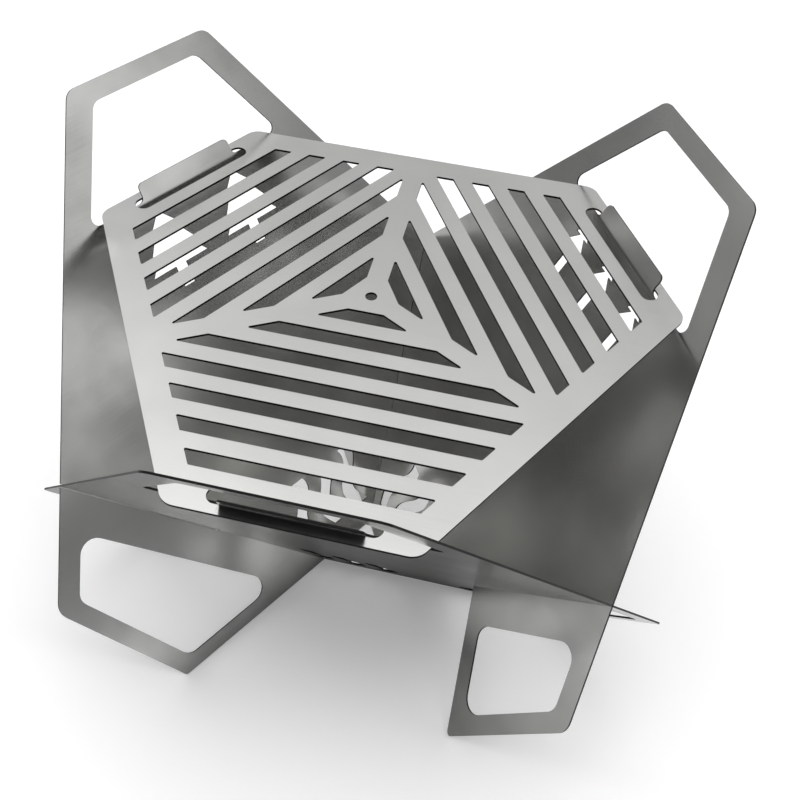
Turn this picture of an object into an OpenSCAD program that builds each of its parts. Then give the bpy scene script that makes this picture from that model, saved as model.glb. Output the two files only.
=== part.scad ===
// Flat-pack fire pit: three flat wall sheets lean outwards, cross each other in half laps
// and stand on their own bottom edges. A slotted cooking grill drops over a tongue on each wall.
// Millimetres, +Z up, origin on the floor in the middle of the three walls.
// A wall is drawn flat: x runs along the sheet, y runs up the slope of the sheet.

/* [Wall sheets] */
// Thickness of the wall sheets
wall_t = 1.2; // [0.8:0.1:2]
// Lean of each wall away from upright, in degrees
wall_lean = 30; // [27:1:33]
// Distance from the middle of the pit to the middle of a sheet, at the floor
wall_base = 14; // [10:0.5:20]
// Height of a wall, measured up its slope
wall_h = 375; // [355:5:420]
// Width of a wall along its top edge
wall_top_w = 106; // [90:1:120]
// Width of a wall at its widest corners
wall_mid_w = 420; // [400:1:450]
// Height of the widest corners, up the slope
wall_mid_h = 97.5; // [88:0.5:105]
// Width of a wall across its two foot tips
wall_foot_w = 315; // [295:1:330]
// Corner radius at the top edge
wall_top_r = 9; // [2:1:14]
// Corner radius at the widest corners
wall_mid_r = 12; // [2:1:16]
// Corner radius at the foot tips
foot_tip_r = 3; // [1:0.5:5]

/* [Half laps] */
// Height where the slot of one wall meets the notch of the next, up the slope
lap_h = 75; // [65:1:85]
// Clearance on each side of a sheet in a slot or notch
lap_gap = 0.35; // [0.2:0.05:0.6]
// Gap between the closed ends of a slot and a notch
lap_end_gap = 0.2; // [0.1:0.05:0.5]

/* [Handles] */
// Sheet left above the hand hole
handle_top_rim = 12; // [8:0.5:18]
// Sheet left beside the hand hole
handle_side_rim = 17; // [12:0.5:22]
// Height of the sill of the hand hole, up the slope
sill_h = 296; // [290:1:305]
// Corner radius at the top of the hand hole
handle_top_r = 8; // [2:0.5:12]
// Corner radius at the sill of the hand hole
handle_sill_r = 5; // [2:0.5:8]

/* [Tongues] */
// Width of the tongue that stands on each sill
tongue_w = 73; // [60:1:80]
// Height of the tongue above the sill, up the slope
tongue_h = 11.6; // [9:0.2:14]
// Radius of the tongue's top corners
tongue_r = 3.5; // [1:0.5:5]
// Radius where the tongue meets the sill
tongue_root_r = 4; // [1:0.5:5]

/* [Foot holes] */
// Sheet left between a foot hole and the crossing line
foot_lap_rim = 25; // [18:0.5:32]
// Sheet left between a foot hole and the long side edge
foot_side_rim = 14; // [10:0.5:18]
// Sheet left between a foot hole and the sloping foot edges
foot_edge_rim = 12.5; // [9:0.5:16]
// Sheet left between a foot hole and the floor
foot_floor_rim = 10.5; // [8:0.5:14]
// Corner radius of the foot holes
foot_hole_r = 10; // [3:0.5:12]

/* [Heat wave vents] */
// Number of wavy vents in each wall
wave_count = 3; // [1:1:3]
// Distance from one vent to the next
wave_pitch = 23.4; // [20:0.2:26]
// Width of a vent
wave_w = 11; // [6:0.5:13]
// Height of the lower end of a vent, up the slope
wave_low = 18; // [14:0.5:24]
// Height of the upper end of a vent, up the slope
wave_high = 67; // [58:0.5:75]
// Sideways swing of a vent
wave_swing = 5.6; // [2:0.2:7]
// Length of one full swing, up the slope
wave_length = 52; // [40:1:70]

/* [Tree cut-outs] */
// Height of the single tree of the front wall
lone_tree_h = 77; // [60:1:80]
// Width of the single tree
lone_tree_w = 70; // [50:1:76]
// Height of the pair of trees of the left wall
pair_tree_h = 51; // [40:0.5:56]
// Width of each tree of the pair
pair_tree_w = 44.5; // [30:0.5:50]
// Distance between the trees of the pair
pair_pitch = 62.5; // [58:0.5:70]
// Height of the three small trees of the right wall
small_tree_h = 36; // [30:0.5:44]
// Width of each small tree
small_tree_w = 28.5; // [20:0.5:30]
// Distance between the small trees
small_pitch = 37.4; // [34:0.2:42]
// Sheet left between the tree tops and the sill
tree_rim = 10; // [7:0.5:16]

/* [Cooking grill] */
// Thickness of the grill plate
grill_t = 1.5; // [1:0.1:2.5]
// Distance from the middle to each long side
grill_long = 140.3; // [132:0.1:148]
// Strip of plate left outside each tongue when the grill is lifted
grill_strip = 1.45; // [1.2:0.05:3]
// Corner radius of the plate
grill_r = 10; // [2:0.5:12]
// Number of slots from the middle to each short side
slot_count = 7; // [4:1:7]
// Width of a slot
slot_w = 10; // [7:0.1:11]
// Width of the bar between two slots
bar_w = 10.2; // [8:0.1:11]
// Distance from the middle to the first slot
slot_first = 13.3; // [11:0.1:18]
// Half the width of the three spokes
spoke_half = 6.3; // [5:0.1:9]
// Sheet left between the slot ends and a long side
border_w = 16.5; // [12:0.5:22]
// Corner radius of the slots
slot_r = 0.8; // [0.2:0.1:1.5]
// Radius of the lifting hole in the middle
lift_hole_r = 3.5; // [2:0.1:5]

/* [Grill fit] */
// Gap between the grill and the sills that it rests on
grill_seat_gap = 0.1; // [0.05:0.05:0.3]
// Gap between a wall and the outer edge of its tongue slot, at rest
tongue_gap = 0.5; // [0.3:0.1:1]
// Gap round a tongue as the grill is lifted over it
lift_gap = 0.3; // [0.2:0.05:0.6]
// Width of a tongue slot
tongue_slot_w = 10.7; // [8:0.1:12]
// Length of slot left beyond each end of a tongue
tongue_slot_over = 8; // [6.5:0.5:9]

/* [Hidden] */
// Turn of each wall about the upright axis
front_turn = 0;
right_turn = 120;
left_turn = 240;
// Straight pieces in a rounded corner, and points along one edge of a vent
arc_steps = 6;
wave_steps = 16;
// Smoothness of the true circles
$fn = 48;
// How far cutting shapes run past the sheet
past = 2;

// Where two neighbouring walls cross, seen in the flat sheet: a line from lap_root along lap_dir
lap_root = [wall_base * tan(60), 0];
lap_dir = unit([tan(60) * sin(wall_lean), 1]);
lap_across = [lap_dir.y, -lap_dir.x];
lap_end = lap_h / lap_dir.y;
// Cosine of the angle between two neighbouring sheets
sheet_cos = pow(sin(wall_lean), 2) - pow(cos(wall_lean), 2) / 2;
lap_half = wall_t / 2 * (1 + abs(sheet_cos)) / sqrt(1 - pow(sheet_cos, 2)) + lap_gap;

// Heights above the floor: the lowest line of a leaning sheet touches the floor
wall_lift = wall_t / 2 * sin(wall_lean);
grill_z = sill_h * cos(wall_lean) + wall_t / 2 * sin(wall_lean) + wall_lift + grill_seat_gap;

// Distances from the middle to the tongue slot, the lift relief and the short side of the grill
face_out = wall_t / 2 / cos(wall_lean);
slot_out = wall_base + (grill_z + grill_t - wall_lift) * tan(wall_lean) + face_out + tongue_gap;
slot_in = slot_out - tongue_slot_w;
tongue_top = sill_h + tongue_h;
relief_out = wall_base + tongue_top * sin(wall_lean) + wall_t / 2 * cos(wall_lean) + lift_gap;
grill_short = relief_out + grill_strip;

// Shape of a tree: how wide its tiers are, and how its trunk compares with its height and width.
// The upper tier of a small tree is lower than the one below it.
top_tier_share = 0.56;
trunk_h_share = 0.26;
trunk_w_share = 0.19;
pair_trunk_h_share = 0.285;
small_trunk_h_share = 0.43;
small_trunk_w_share = 0.27;
small_upper_tier = 0.59;
tip_share = 0.05;

// The unit vector along a line
function unit(v) = v / norm(v);

// The point where the line from p along d meets the line from q along e
function meet(p, d, q, e) = p + d * cross(q - p, e) / cross(d, e);

// A line [point, direction] moved to its left by gap
function moved(line, gap) = [line[0] + gap * [-line[1].y, line[1].x], line[1]];

// The corners where each line of a closed ring meets the next one
function ring_corners(lines) = [
    for (i = [0 : len(lines) - 1])
        let (a = lines[i], b = lines[(i + 1) % len(lines)])
        meet(a[0], a[1], b[0], b[1])
];

// The points of one corner p, between its neighbours a and b, rounded by radius r
function corner(p, a, b, r) =
    let (
        u = unit(a - p),
        w = unit(b - p),
        half = acos(u * w) / 2,
        room = 0.48 * min(norm(a - p), norm(b - p)),
        reach = min(r / tan(half), room),
        radius = reach * tan(half),
        centre = p + unit(u + w) * radius / sin(half),
        from = p + u * reach - centre,
        to = p + w * reach - centre,
        start = atan2(from.y, from.x),
        sweep = atan2(cross(from, to), from * to)
    )
    r <= 0 ? [p] : [
        for (i = [0 : arc_steps])
            centre + radius * [cos(start + sweep * i / arc_steps), sin(start + sweep * i / arc_steps)]
    ];

// A closed outline with a radius at each of its corners
function rounded(points, radii) = [
    for (i = [0 : len(points) - 1])
        let (n = len(points))
        each corner(points[i], points[(i + n - 1) % n], points[(i + 1) % n], radii[i])
];

// The same radius for every corner of an outline
function even(points, r) = [for (p = points) r];

// The mirror image of a point on the other half of the sheet
function flipped(p) = [-p.x, p.y];

// A point at distance s up the crossing line and off beside it, towards the foot
function lap_point(s, off) = lap_root + lap_dir * s + lap_across * off;

// Corners of the sheet on its right half
foot_tip = [wall_foot_w / 2, 0];
mid_corner = [wall_mid_w / 2, wall_mid_h];
top_corner = [wall_top_w / 2, wall_h];

// Corners of the notch, on the half where it opens to the floor
notch_s = lap_end + lap_end_gap / 2;
notch_out = lap_point(notch_s, lap_half);
notch_in = lap_point(notch_s, -lap_half);
notch_floor = meet(notch_in, lap_dir, [0, 0], [1, 0]);

// The edges round a foot hole, each with the sheet on its left
side_line = [mid_corner, unit(top_corner - mid_corner)];
lower_line = [foot_tip, unit(mid_corner - foot_tip)];
floor_line = [[0, 0], [1, 0]];
lap_line = [lap_root, -lap_dir];
notch_line = [notch_out, unit(foot_tip - notch_out)];

// The whole outline of a wall, before its holes
function wall_outline() = rounded(
    [flipped(notch_floor), foot_tip, mid_corner, top_corner, flipped(top_corner),
        flipped(mid_corner), flipped(foot_tip), flipped(notch_out), flipped(notch_in)],
    [foot_tip_r / 3, foot_tip_r, wall_mid_r, wall_top_r, wall_top_r, wall_mid_r, foot_tip_r, 0, 0]
);

// The narrow slot that takes the next wall, open at the side edge
function slot_outline() = [
    lap_point(lap_end - lap_end_gap / 2, -lap_half),
    lap_point(lap_end - lap_end_gap / 2, lap_half),
    lap_point(wall_h, lap_half),
    lap_point(wall_h, -lap_half)
];

// The foot hole on the half that stands on the floor all along
function floor_foot_hole() = ring_corners([
    moved(floor_line, foot_floor_rim),
    moved(lower_line, foot_edge_rim),
    moved(side_line, foot_side_rim),
    moved(lap_line, foot_lap_rim)
]);

// The foot hole on the half with the notch, drawn on the right half
function notch_foot_hole() = ring_corners([
    moved(notch_line, foot_edge_rim),
    moved(lower_line, foot_edge_rim),
    moved(side_line, foot_side_rim),
    moved(lap_line, foot_lap_rim)
]);

// The hand hole, with the tongue standing in it
function hand_hole() =
    let (
        side = moved(side_line, handle_side_rim),
        top_h = wall_h - handle_top_rim,
        sill = meet(side[0], side[1], [0, sill_h], [1, 0]),
        top = meet(side[0], side[1], [0, top_h], [1, 0]),
        root = [tongue_w / 2, sill_h],
        tip = [tongue_w / 2, tongue_top]
    )
    rounded(
        [flipped(sill), flipped(root), flipped(tip), tip, root, sill, top, flipped(top)],
        [handle_sill_r, tongue_root_r, tongue_r, tongue_r, tongue_root_r, handle_sill_r,
            handle_top_r, handle_top_r]
    );

// One wavy vent: its two long edges follow a cosine
function wave_outline() =
    let (
        heights = [for (i = [0 : wave_steps]) wave_low + (wave_high - wave_low) * i / wave_steps],
        middle = [for (h = heights) -wave_swing * cos(360 * (h - wave_high) / wave_length + 48)],
        last = wave_steps
    )
    concat(
        [for (i = [0 : last]) [middle[i] + wave_w / 2, heights[i]]],
        [for (i = [last : -1 : 0]) [middle[i] - wave_w / 2, heights[i]]]
    );

// The sum of n terms 1, s, s * s and so on
function series(n, s) = n == 0 ? 0 : 1 + s * series(n - 1, s);

// The right-hand edge of a tree of height h and width w, from its trunk to its tip. Each tier is
// shrink times as high as the one below it.
function tree_edge(h, w, tiers, neck, trunk_h, trunk_w, shrink) =
    let (
        trunk = trunk_w / 2,
        lowest_h = (h - trunk_h) / series(tiers, shrink),
        share = [for (i = [0 : tiers]) 1 - (1 - top_tier_share) * i / max(tiers - 1, 1)]
    )
    concat(
        [[trunk, 0], [trunk, trunk_h]],
        [
            for (i = [0 : tiers - 1])
                let (
                    low = trunk_h + lowest_h * series(i, shrink),
                    high = low + lowest_h * pow(shrink, i),
                    top = i == tiers - 1 ? tip_share : share[i + 1] * neck
                )
                each [[w / 2 * share[i], low], [w / 2 * top, high]]
        ]
    );

module tree(h, w, tiers, neck, trunk_h, trunk_w, shrink = 1) {
    edge = tree_edge(h, w, tiers, neck, trunk_h, trunk_w, shrink);
    last = len(edge) - 1;
    translate([0, sill_h - tree_rim - h])
        polygon(concat(edge, [for (i = [last : -1 : 0]) flipped(edge[i])]));
}

// Tree cut-outs: one, two or three tell the walls apart
module lone_tree() {
    tree(lone_tree_h, lone_tree_w, 3, 0.7, lone_tree_h * trunk_h_share, lone_tree_w * trunk_w_share);
}

module tree_pair() {
    for (side = [-1, 1])
        translate([side * pair_pitch / 2, 0])
            tree(pair_tree_h, pair_tree_w, 3, 0.7,
                pair_tree_h * pair_trunk_h_share, pair_tree_w * trunk_w_share);
}

module three_trees() {
    for (place = [-1 : 1])
        translate([place * small_pitch, 0])
            tree(small_tree_h, small_tree_w, 2, 0.37,
                small_tree_h * small_trunk_h_share, small_tree_w * small_trunk_w_share, small_upper_tier);
}

// Heat wave vents, side by side
module heat_waves() {
    for (i = [0 : wave_count - 1])
        translate([(i - (wave_count - 1) / 2) * wave_pitch, 0])
            polygon(wave_outline());
}

// One flat wall sheet; its children are cut out of it
module wall_sheet() {
    floor_hole = floor_foot_hole();
    notch_hole = notch_foot_hole();
    linear_extrude(wall_t)
        difference() {
            polygon(wall_outline());
            polygon(slot_outline());
            polygon(hand_hole());
            polygon(rounded(floor_hole, even(floor_hole, foot_hole_r)));
            mirror([1, 0])
                polygon(rounded(notch_hole, even(notch_hole, foot_hole_r)));
            heat_waves();
            children();
        }
}

// Stands a flat sheet up: leaning outwards, at its place round the pit
module stand_up(turn) {
    rotate([0, 0, turn])
        translate([0, -wall_base, wall_lift])
            rotate([90 + wall_lean, 0, 0])
                translate([0, 0, -wall_t / 2])
                    children();
}

module front_wall() {
    color("darkgray")
        stand_up(front_turn)
            wall_sheet()
                lone_tree();
}

module left_wall() {
    color("darkgray")
        stand_up(left_turn)
            wall_sheet()
                tree_pair();
}

module right_wall() {
    color("darkgray")
        stand_up(right_turn)
            wall_sheet()
                three_trees();
}

// How far a slot reaches to each side, at distance d from the middle of the grill
function slot_reach(d) = min(
    d * tan(60) - 2 * spoke_half,
    (grill_long - border_w - d / 2) / cos(30)
);

// Slot number i of the front third, between two distances from the middle
function bar_slot(i) =
    let (
        near = slot_first + i * (slot_w + bar_w),
        far = near + slot_w
    )
    [
        [-slot_reach(far), -far],
        [slot_reach(far), -far],
        [slot_reach(near), -near],
        [-slot_reach(near), -near]
    ];

// The six-sided grill plate: short sides at the walls, long sides between them
function grill_corners() = ring_corners([
    for (turn = [0, 120, 240])
        each [
            side_at(grill_short, turn - 90),
            side_at(grill_long, turn - 30)
        ]
]);

// The straight side at distance d from the middle, facing the given angle
function side_at(d, facing) = [
    d * [cos(facing), sin(facing)],
    [-sin(facing), cos(facing)]
];

// Slot for one tongue: round ends, and a relief that lets the leaning tongue out as the grill rises
module tongue_slot() {
    round_r = tongue_slot_w / 2;
    run = tongue_w / 2 + tongue_slot_over - round_r;
    middle = (slot_in + slot_out) / 2;
    relief = tongue_w / 2 + lift_gap;
    for (side = [-1, 1])
        translate([side * run, -middle])
            circle(round_r);
    translate([-run, -slot_out])
        square([2 * run, tongue_slot_w]);
    translate([-relief, -relief_out])
        square([2 * relief, relief_out - middle]);
}

module cooking_grill() {
    corners = grill_corners();
    color("lightgray")
        translate([0, 0, grill_z])
            difference() {
                linear_extrude(grill_t)
                    polygon(rounded(corners, even(corners, grill_r)));
                for (turn = [0, 120, 240])
                    rotate([0, 0, turn])
                        translate([0, 0, -past])
                            linear_extrude(grill_t + 2 * past) {
                                for (i = [0 : slot_count - 1])
                                    polygon(rounded(bar_slot(i), even(bar_slot(i), slot_r)));
                                tongue_slot();
                            }
                translate([0, 0, -past])
                    cylinder(h = grill_t + 2 * past, r = lift_hole_r);
            }
}

front_wall();
left_wall();
right_wall();
cooking_grill();
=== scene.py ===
"""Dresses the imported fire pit: sheet steel finishes, a studio floor, soft light and a camera.

Lengths are in metres, unless a name ends in _mm.
"""

import logging
import math
from dataclasses import dataclass, field
from enum import Enum
from typing import Any

import bmesh
import bpy
import numpy as np
from mathutils import Matrix, Vector


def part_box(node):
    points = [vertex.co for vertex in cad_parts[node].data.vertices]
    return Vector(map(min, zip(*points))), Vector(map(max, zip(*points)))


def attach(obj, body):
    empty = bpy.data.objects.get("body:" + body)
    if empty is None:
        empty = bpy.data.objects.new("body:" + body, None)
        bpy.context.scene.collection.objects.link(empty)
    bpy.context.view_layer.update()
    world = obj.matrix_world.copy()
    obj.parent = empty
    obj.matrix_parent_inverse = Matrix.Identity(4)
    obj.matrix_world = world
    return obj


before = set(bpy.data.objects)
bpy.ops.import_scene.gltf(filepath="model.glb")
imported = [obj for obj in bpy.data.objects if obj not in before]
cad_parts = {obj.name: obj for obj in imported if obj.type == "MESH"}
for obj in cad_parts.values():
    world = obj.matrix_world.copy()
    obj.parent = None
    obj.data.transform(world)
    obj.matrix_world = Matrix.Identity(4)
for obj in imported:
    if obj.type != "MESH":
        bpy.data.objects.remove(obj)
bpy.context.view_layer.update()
LOG = logging.getLogger("fire_pit")
MM_PER_M = 1000.0


class Wall(Enum):
    """The three walls, by node name and by their turn about the upright axis in degrees."""

    FRONT = ("front_wall", 0.0)
    RIGHT = ("right_wall", 120.0)
    LEFT = ("left_wall", 240.0)

    @property
    def node(self) -> str:
        """The name of the wall's CAD node."""
        return self.value[0]

    @property
    def turn(self) -> float:
        """The wall's turn about the upright axis in radians."""
        return math.radians(self.value[1])


def linear(code: str) -> tuple[float, float, float, float]:
    """Turns an sRGB hex code into linear colour.

    Args:
        code: six hex digits, with or without a leading hash.

    Returns:
        Red, green, blue and an alpha of 1.
    """
    digits = code.lstrip("#")
    parts = [int(digits[i : i + 2], 16) / 255.0 for i in (0, 2, 4)]
    bent = [p / 12.92 if p <= 0.04045 else ((p + 0.055) / 1.055) ** 2.4 for p in parts]
    return (bent[0], bent[1], bent[2], 1.0)


def add_node(
    tree: bpy.types.NodeTree,
    kind: str,
    inputs: dict[Any, Any] | None = None,
    stops: list[tuple[float, str]] | None = None,
    **settings: Any,
) -> bpy.types.Node:
    """Adds a node with its settings, colour stops, values and links.

    Args:
        tree: the node tree that gets the node.
        kind: the node's type name.
        inputs: input name or number, to a value or to the output socket that feeds it. A number
            stands where several inputs of a node share one name.
        stops: places and hex colours of a colour ramp.
        settings: the node's own properties.

    Returns:
        The new node.
    """
    made = tree.nodes.new(kind)
    for name, value in settings.items():
        setattr(made, name, value)
    for key, value in (inputs or {}).items():
        if isinstance(value, bpy.types.NodeSocket):
            tree.links.new(value, made.inputs[key])
        else:
            made.inputs[key].default_value = value
    if stops:
        ramp = made.color_ramp
        while len(ramp.elements) < len(stops):
            ramp.elements.new(1.0)
        for element, (place, code) in zip(ramp.elements, stops):
            element.position = place
            element.color = linear(code)
    return made


@dataclass(frozen=True)
class SheetSteel:
    """Cold-rolled stainless sheet, laser cut: a satin face with a rolling grain and faint clouds.

    The face is a grey mirror blurred by the grain. Handling leaves soft darker clouds a hand wide,
    and small paler marks. The cut edges are darker and rougher than the faces. The real grain is
    a few hundredths of a millimetre wide, and is drawn as coarse as it needs to be to show.
    """

    name: str
    light: str
    dark: str
    edge: str
    cloud_mm: float
    mark_mm: float
    grain_mm: float
    grain_run_mm: float
    rough_low: float
    rough_high: float
    edge_rough: float
    bump: float
    bump_depth_mm: float = 0.05
    cloud_twist: float = 0.25
    mark_share: float = 0.25
    mottle_low: float = 0.30
    mottle_high: float = 0.68
    grain_share: float = 0.35
    noise_detail: float = 2.0
    noise_rough: float = 0.5
    face_least_z: float = 0.5

    def material(self, turned: Matrix) -> bpy.types.Material:
        """Builds the material for a sheet that lies at an angle.

        Args:
            turned: the turn that lays the sheet flat, so that its face looks along Z.

        Returns:
            The material.
        """
        made = bpy.data.materials.new(self.name)
        made.use_nodes = True
        tree = made.node_tree
        tree.nodes.clear()
        angles = turned.to_euler("XYZ")
        place = add_node(tree, "ShaderNodeTexCoord")
        flat = add_node(
            tree,
            "ShaderNodeMapping",
            {"Vector": place.outputs["Object"], "Rotation": angles},
        )
        facing = add_node(
            tree,
            "ShaderNodeMapping",
            {"Vector": place.outputs["Normal"], "Rotation": angles},
            vector_type="VECTOR",
        )
        facing_parts = add_node(
            tree, "ShaderNodeSeparateXYZ", {"Vector": facing.outputs[0]}
        )
        upright = add_node(
            tree,
            "ShaderNodeMath",
            {0: facing_parts.outputs["Z"]},
            operation="ABSOLUTE",
        )
        on_face = add_node(
            tree,
            "ShaderNodeMath",
            {0: upright.outputs[0], 1: self.face_least_z},
            operation="GREATER_THAN",
        )
        clouds = add_node(
            tree,
            "ShaderNodeTexNoise",
            {
                "Vector": flat.outputs[0],
                "Scale": MM_PER_M / self.cloud_mm,
                "Detail": self.noise_detail,
                "Roughness": self.noise_rough,
                "Distortion": self.cloud_twist,
            },
        )
        marks = add_node(
            tree,
            "ShaderNodeTexNoise",
            {
                "Vector": flat.outputs[0],
                "Scale": MM_PER_M / self.mark_mm,
                "Detail": self.noise_detail,
                "Roughness": self.noise_rough,
            },
        )
        drawn_out = add_node(
            tree,
            "ShaderNodeMapping",
            {
                "Vector": flat.outputs[0],
                "Scale": (MM_PER_M / self.grain_run_mm, MM_PER_M / self.grain_mm, 1.0),
            },
        )
        grain = add_node(
            tree,
            "ShaderNodeTexNoise",
            {
                "Vector": drawn_out.outputs[0],
                "Scale": 1.0,
                "Detail": self.noise_detail,
                "Roughness": self.noise_rough,
            },
        )
        mottled = add_node(
            tree,
            "ShaderNodeMix",
            {0: self.mark_share, 2: clouds.outputs["Fac"], 3: marks.outputs["Fac"]},
        )
        spread = add_node(
            tree,
            "ShaderNodeMapRange",
            {
                "Value": mottled.outputs[0],
                "From Min": self.mottle_low,
                "From Max": self.mottle_high,
                "To Min": 0.0,
                "To Max": 1.0,
            },
            interpolation_type="SMOOTHSTEP",
        )
        face_colour = add_node(
            tree,
            "ShaderNodeValToRGB",
            {"Fac": spread.outputs[0]},
            stops=[(0.0, self.dark), (1.0, self.light)],
        )
        grain_show = add_node(
            tree,
            "ShaderNodeMath",
            {0: grain.outputs["Fac"], 1: self.grain_share},
            operation="MULTIPLY",
        )
        grained = add_node(
            tree,
            "ShaderNodeMix",
            {
                0: grain_show.outputs[0],
                6: face_colour.outputs["Color"],
                7: linear(self.light),
            },
            data_type="RGBA",
        )
        colour = add_node(
            tree,
            "ShaderNodeMix",
            {
                0: on_face.outputs[0],
                6: linear(self.edge),
                7: grained.outputs[2],
            },
            data_type="RGBA",
        )
        face_rough = add_node(
            tree,
            "ShaderNodeMapRange",
            {
                "Value": spread.outputs[0],
                "To Min": self.rough_high,
                "To Max": self.rough_low,
            },
        )
        rough = add_node(
            tree,
            "ShaderNodeMix",
            {
                0: on_face.outputs[0],
                2: self.edge_rough,
                3: face_rough.outputs[0],
            },
        )
        relief = add_node(
            tree,
            "ShaderNodeBump",
            {
                "Height": grain.outputs["Fac"],
                "Strength": self.bump,
                "Distance": self.bump_depth_mm / MM_PER_M,
            },
        )
        shader = add_node(
            tree,
            "ShaderNodeBsdfPrincipled",
            {
                "Base Color": colour.outputs[2],
                "Metallic": 1.0,
                "Roughness": rough.outputs[0],
                "Normal": relief.outputs[0],
            },
        )
        add_node(
            tree, "ShaderNodeOutputMaterial", {"Surface": shader.outputs[0]}
        )
        return made


WALL_STEEL = SheetSteel(
    name="cold_rolled_stainless_wall",
    light="#c9c9c7",
    dark="#969694",
    edge="#232322",
    cloud_mm=110.0,
    mark_mm=34.0,
    grain_mm=0.9,
    grain_run_mm=45.0,
    rough_low=0.17,
    rough_high=0.24,
    edge_rough=0.5,
    bump=0.12,
)
GRILL_STEEL = SheetSteel(
    name="satin_stainless_grill",
    light="#dcdcda",
    dark="#c8c8c6",
    edge="#1d1d1c",
    cloud_mm=160.0,
    mark_mm=35.0,
    grain_mm=0.9,
    grain_run_mm=60.0,
    rough_low=0.20,
    rough_high=0.26,
    edge_rough=0.5,
    bump=0.15,
)


def dress(node: str, finish: bpy.types.Material) -> None:
    """Gives a CAD node one finish all over.

    Args:
        node: the node's name.
        finish: its material.
    """
    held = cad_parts[node]
    held.data.materials.clear()
    held.data.materials.append(finish)
    LOG.info("%s is finished in %s", node, finish.name)


@dataclass
class LeaningWalls:
    """The three interlocked wall sheets."""

    lean_deg: float = 30.0
    steel: SheetSteel = WALL_STEEL

    def laid_flat(self, wall: Wall) -> Matrix:
        """Gives the turn that lays one wall flat, with its width along X and its slope along Y.

        Args:
            wall: the wall.

        Returns:
            A 3 by 3 turn.
        """
        unturned = Matrix.Rotation(-wall.turn, 3, "Z")
        tipped = Matrix.Rotation(-math.radians(90.0 + self.lean_deg), 3, "X")
        return tipped @ unturned

    def finish(self) -> None:
        """Dresses each wall in steel whose grain runs across the sheet."""
        for wall in Wall:
            dress(wall.node, self.steel.material(self.laid_flat(wall)))


@dataclass
class CookingGrill:
    """The slotted grill plate, with the strip that closes each tongue slot under its tongue.

    The solid model has a pocket there, so that a rigid grill can rise past the leaning tongues.
    On the real plate the strip goes on, and the sprung walls let it past.
    """

    steel: SheetSteel = GRILL_STEEL
    lip_inner: float = 0.16385
    lip_outer: float = 0.16858
    lip_half: float = 0.0367
    lip_soft: float = 0.00015
    lip_soft_rise: float = 0.00009
    lip_stations: int = 13

    def lip(self, wall: Wall, finish: bpy.types.Material) -> bpy.types.Object:
        """Makes the strip of plate under one tongue.

        The surface is a bar: a ring of six points, the plate's section with its two inner corners
        cut by lip_soft across and lip_soft_rise upwards, is carried along the tongue at even steps
        from -lip_half to lip_half and turned about the upright axis to its wall. Both ends are
        closed.

        Args:
            wall: the wall whose tongue stands over the strip.
            finish: its material.

        Returns:
            The strip.
        """
        low, high = (corner[2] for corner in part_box("cooking_grill"))
        inner, outer = self.lip_inner, self.lip_outer
        soft, rise = self.lip_soft, self.lip_soft_rise
        ring = np.array(
            [
                (inner + soft, low),
                (outer, low),
                (outer, high),
                (inner + soft, high),
                (inner, high - rise),
                (inner, low + rise),
            ]
        )
        along = np.linspace(-self.lip_half, self.lip_half, self.lip_stations)
        count, steps = len(ring), len(along)
        x = np.repeat(along, count)
        y = -np.tile(ring[:, 0], steps)
        z = np.tile(ring[:, 1], steps)
        sin, cos = math.sin(wall.turn), math.cos(wall.turn)
        points = np.stack([x * cos - y * sin, x * sin + y * cos, z], 1)
        i, j = np.meshgrid(np.arange(steps - 1), np.arange(count), indexing="ij")
        here, over = i * count + j, i * count + (j + 1) % count
        sides = np.stack([here, over, over + count, here + count], -1).reshape(-1, 4)
        first = list(range(count))[::-1]
        last = list(range((steps - 1) * count, steps * count))
        mesh = bpy.data.meshes.new(f"slot_lip_{wall.name.lower()}")
        mesh.from_pydata(points.tolist(), [], sides.tolist() + [first, last])
        shape = bmesh.new()
        shape.from_mesh(mesh)
        bmesh.ops.recalc_face_normals(shape, faces=shape.faces)
        shape.to_mesh(mesh)
        shape.free()
        made = bpy.data.objects.new(mesh.name, mesh)
        bpy.context.scene.collection.objects.link(made)
        mesh.materials.append(finish)
        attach(made, "grill")
        LOG.info("%s is made", made.name)
        return made

    def finish(self) -> None:
        """Dresses the plate in steel whose grain runs from side to side, and closes its slots."""
        finish = self.steel.material(Matrix.Identity(3))
        dress("cooking_grill", finish)
        for wall in Wall:
            self.lip(wall, finish)


@dataclass(frozen=True)
class SoftLamp:
    """A square cloth-covered lamp that points at the fire pit."""

    name: str
    place: tuple[float, float, float]
    side: float
    watts: float
    aim: tuple[float, float, float] = (0.0, 0.0, 0.15)

    def hang(self) -> bpy.types.Object:
        """Makes the lamp.

        Returns:
            The lamp.
        """
        data = bpy.data.lights.new(self.name, "AREA")
        data.shape = "SQUARE"
        data.size = self.side
        data.energy = self.watts
        made = bpy.data.objects.new(self.name, data)
        made.location = self.place
        way = Vector(self.aim) - Vector(self.place)
        made.rotation_euler = way.to_track_quat("-Z", "Y").to_euler()
        bpy.context.scene.collection.objects.link(made)
        return made


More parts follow.
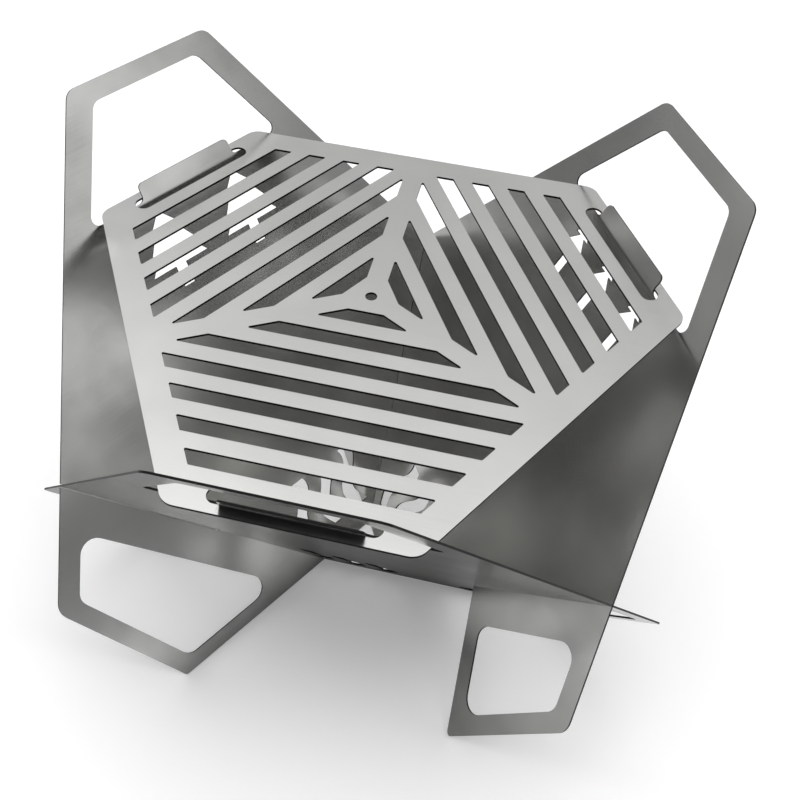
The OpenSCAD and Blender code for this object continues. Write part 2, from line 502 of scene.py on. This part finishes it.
@dataclass
class Studio:
    """The floor, the soft surroundings, five lamps, and two cards that only mirror in the steel.

    A black card stands behind the camera as a painted dark reflection, and a grey sheet lies in
    front on the left as painted shade in the mirrored floor.
    """

    floor_side: float = 16.0
    floor_cells: int = 8
    floor_code: str = "#f6f6f6"
    floor_glow: float = 0.16
    floor_rough: float = 0.8
    floor_shine: float = 0.2
    lamps: tuple[SoftLamp, ...] = (
        SoftLamp("lamp_above", (-0.3, -0.6, 2.4), 1.8, 4.5),
        SoftLamp("lamp_left", (-1.6, 0.0, 1.3), 0.9, 6.5),
        SoftLamp("lamp_right_above", (1.3, -0.3, 2.0), 0.9, 6.0),
        SoftLamp("lamp_right", (1.55, -0.22, 0.82), 0.9, 1.8),
        SoftLamp("lamp_left_back", (-1.1, 1.1, 2.3), 1.0, 0.8),
    )
    sky_stops: list[tuple[float, str]] = field(
        default_factory=lambda: [
            (0.0, "#202020"),
            (0.48, "#414141"),
            (0.54, "#585858"),
            (0.60, "#6e6e6e"),
            (0.70, "#808080"),
            (0.785, "#8e8e8e"),
            (0.895, "#ababab"),
            (0.955, "#e6e6e6"),
        ]
    )
    sky_strength: float = 2.2
    front_shade: float = 0.30
    front_span: tuple[float, float] = (-0.9, -0.1)
    side_lift: float = -0.06
    backdrop_code: str = "#f4f4f4"
    # painted dark reflection: the black card below is seen only in reflections, in place of the
    # shade by the front tongue
    card_place: float = -0.50
    card_width: float = 0.9
    card_foot: float = 0.001
    card_height: float = 0.62
    card_code: str = "#000000"
    # painted shade: a grey sheet seen only in reflections, which darkens the floor that the steel
    # mirrors in front on the left
    painted_shade_x: tuple[float, float] = (-0.75, 0.16)
    painted_shade_y: tuple[float, float] = (-0.48, 0.02)
    painted_shade_height: float = 0.0006
    painted_shade_code: str = "#bcbcbc"

    def floor(self) -> bpy.types.Object:
        """Makes the floor.

        The surface is level: x and y run evenly over the grid and z is nought.

        Returns:
            The floor.
        """
        half, cells = self.floor_side / 2, self.floor_cells
        row = cells + 1
        steps = np.linspace(-half, half, row)
        x, y = np.meshgrid(steps, steps, indexing="ij")
        points = np.stack([x, y, np.zeros_like(x)], -1).reshape(-1, 3)
        i, j = np.meshgrid(np.arange(cells), np.arange(cells), indexing="ij")
        first = (i * row + j).ravel()
        faces = np.stack([first, first + row, first + row + 1, first + 1], 1)
        mesh = bpy.data.meshes.new("floor")
        mesh.from_pydata(points.tolist(), [], faces.tolist())
        made = bpy.data.objects.new("floor", mesh)
        bpy.context.scene.collection.objects.link(made)
        paint = bpy.data.materials.new("matt_white_paper")
        paint.use_nodes = True
        shader = paint.node_tree.nodes["Principled BSDF"]
        shader.inputs["Base Color"].default_value = linear(self.floor_code)
        shader.inputs["Roughness"].default_value = self.floor_rough
        shader.inputs["Emission Color"].default_value = linear(self.floor_code)
        shader.inputs["Emission Strength"].default_value = self.floor_glow
        shader.inputs["Specular IOR Level"].default_value = self.floor_shine
        mesh.materials.append(paint)
        return made

    def sky(self) -> None:
        """Makes soft surroundings that brighten upwards and are dimmer in front.

        The steel mirrors them, and behind the floor the eye sees a plain pale backdrop.
        """
        world = bpy.data.worlds.new("soft_box")
        bpy.context.scene.world = world
        world.use_nodes = True
        tree = world.node_tree
        tree.nodes.clear()
        way = add_node(tree, "ShaderNodeTexCoord")
        parts = add_node(
            tree, "ShaderNodeSeparateXYZ", {"Vector": way.outputs["Generated"]}
        )
        height = add_node(
            tree,
            "ShaderNodeMapRange",
            {"Value": parts.outputs["Z"], "From Min": -1.0, "From Max": 1.0},
        )
        glow = add_node(
            tree,
            "ShaderNodeValToRGB",
            {"Fac": height.outputs[0]},
            stops=self.sky_stops,
        )
        ahead = add_node(
            tree,
            "ShaderNodeMapRange",
            {
                "Value": parts.outputs["Y"],
                "From Min": self.front_span[0],
                "From Max": self.front_span[1],
                "To Min": self.front_shade,
                "To Max": 1.0,
            },
            interpolation_type="SMOOTHSTEP",
        )
        sideways = add_node(
            tree,
            "ShaderNodeMath",
            {0: parts.outputs["X"], 1: self.side_lift, 2: 1.0},
            operation="MULTIPLY_ADD",
        )
        shaded = add_node(
            tree,
            "ShaderNodeMath",
            {0: ahead.outputs[0], 1: sideways.outputs[0]},
            operation="MULTIPLY",
        )
        strength = add_node(
            tree,
            "ShaderNodeMath",
            {0: shaded.outputs[0], 1: self.sky_strength},
            operation="MULTIPLY",
        )
        shader = add_node(
            tree,
            "ShaderNodeBackground",
            {"Color": glow.outputs["Color"], "Strength": strength.outputs[0]},
        )
        backdrop = add_node(
            tree,
            "ShaderNodeBackground",
            {"Color": linear(self.backdrop_code), "Strength": 1.0},
        )
        seen = add_node(tree, "ShaderNodeLightPath")
        both = add_node(
            tree,
            "ShaderNodeMixShader",
            {
                0: seen.outputs["Is Camera Ray"],
                1: shader.outputs[0],
                2: backdrop.outputs[0],
            },
        )
        add_node(tree, "ShaderNodeOutputWorld", {"Surface": both.outputs[0]})

    def card(self, name: str, corners: np.ndarray, code: str) -> bpy.types.Object:
        """Makes a flat card that only mirrors in the steel.

        The surface is the flat patch between four corners, taken in turn.

        Args:
            name: the card's name.
            corners: four points, one to a row.
            code: the colour of its felt.

        Returns:
            The card.
        """
        mesh = bpy.data.meshes.new(name)
        mesh.from_pydata(corners.tolist(), [], [(0, 1, 2, 3)])
        made = bpy.data.objects.new(name, mesh)
        bpy.context.scene.collection.objects.link(made)
        felt = bpy.data.materials.new(f"{name}_felt")
        felt.use_nodes = True
        shader = felt.node_tree.nodes["Principled BSDF"]
        shader.inputs["Base Color"].default_value = linear(code)
        shader.inputs["Roughness"].default_value = 1.0
        shader.inputs["Specular IOR Level"].default_value = 0.0
        mesh.materials.append(felt)
        made.visible_camera = False
        made.visible_diffuse = False
        made.visible_shadow = False
        return made

    def dark_card(self) -> bpy.types.Object:
        """Stands a black card behind the camera, seen only in reflections: a painted dark
        reflection by the front tongue, in place of the shade between the tongue and the strip
        under it.
        """
        half, deep = self.card_width / 2, self.card_place
        foot, top = self.card_foot, self.card_height
        corners = np.array(
            [(-half, deep, foot), (half, deep, foot), (half, deep, top), (-half, deep, top)]
        )
        return self.card("dark_card", corners, self.card_code)

    def painted_shade_mat(self) -> bpy.types.Object:
        """Lays a grey sheet in front on the left, seen only in reflections: painted shade, so that
        the steel mirrors a dimmer floor there, as if the floor were shaded under the walls.
        """
        (left, right), (near, far), z = self.painted_shade_x, self.painted_shade_y, self.painted_shade_height
        corners = np.array([(left, near, z), (right, near, z), (right, far, z), (left, far, z)])
        return self.card("painted_shade_mat", corners, self.painted_shade_code)

    def print_tones(self) -> None:
        """Shows tones as they are, so that the pale floor comes out nearly white."""
        bpy.context.scene.view_settings.view_transform = "Standard"

    def hang_lamps(self) -> None:
        """Hangs the soft lamps round the fire pit."""
        for lamp in self.lamps:
            lamp.hang()


@dataclass(frozen=True)
class PhotoCamera:
    """The camera of the photograph: where it stands, how it is turned, and its lens."""

    place: tuple[float, float, float] = (0.0965185, -0.4577952, 0.6871927)
    azimuth_deg: float = -11.1104
    dip_deg: float = 47.3694
    roll_deg: float = 2.9561
    lens_mm: float = 49.1188
    sensor_mm: float = 36.0
    shift_x: float = 0.027971
    shift_y: float = -0.012707
    sees_from: float = 0.01
    sees_to: float = 50.0

    def make(self) -> bpy.types.Object:
        """Makes the camera.

        Its view direction is (sin a cos d, cos a cos d, -sin d) for azimuth a and dip d, and its
        sideways and upward axes are turned by the roll about that direction.

        Returns:
            The camera.
        """
        a, d, r = (
            math.radians(v) for v in (self.azimuth_deg, self.dip_deg, self.roll_deg)
        )
        ahead = Vector(
            (math.sin(a) * math.cos(d), math.cos(a) * math.cos(d), -math.sin(d))
        )
        level = ahead.cross(Vector((0.0, 0.0, 1.0))).normalized()
        above = level.cross(ahead)
        side = level * math.cos(r) + above * math.sin(r)
        up = above * math.cos(r) - level * math.sin(r)
        data = bpy.data.cameras.new("photo_camera")
        data.sensor_width = self.sensor_mm
        data.lens = self.lens_mm
        data.shift_x = self.shift_x
        data.shift_y = self.shift_y
        data.clip_start = self.sees_from
        data.clip_end = self.sees_to
        made = bpy.data.objects.new("photo_camera", data)
        turn = Matrix((side, up, -ahead)).transposed()
        made.matrix_world = Matrix.Translation(self.place) @ turn.to_4x4()
        bpy.context.scene.collection.objects.link(made)
        bpy.context.scene.camera = made
        return made


def main() -> None:
    """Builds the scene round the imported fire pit."""
    logging.basicConfig(level=logging.INFO, format="%(name)s: %(message)s")
    PhotoCamera().make()
    LeaningWalls().finish()
    CookingGrill().finish()
    studio = Studio()
    studio.floor()
    studio.dark_card()
    # painted shade in the floor as the steel mirrors it
    studio.painted_shade_mat()
    studio.sky()
    studio.hang_lamps()
    studio.print_tones()


if __name__ == "__main__":
    main()
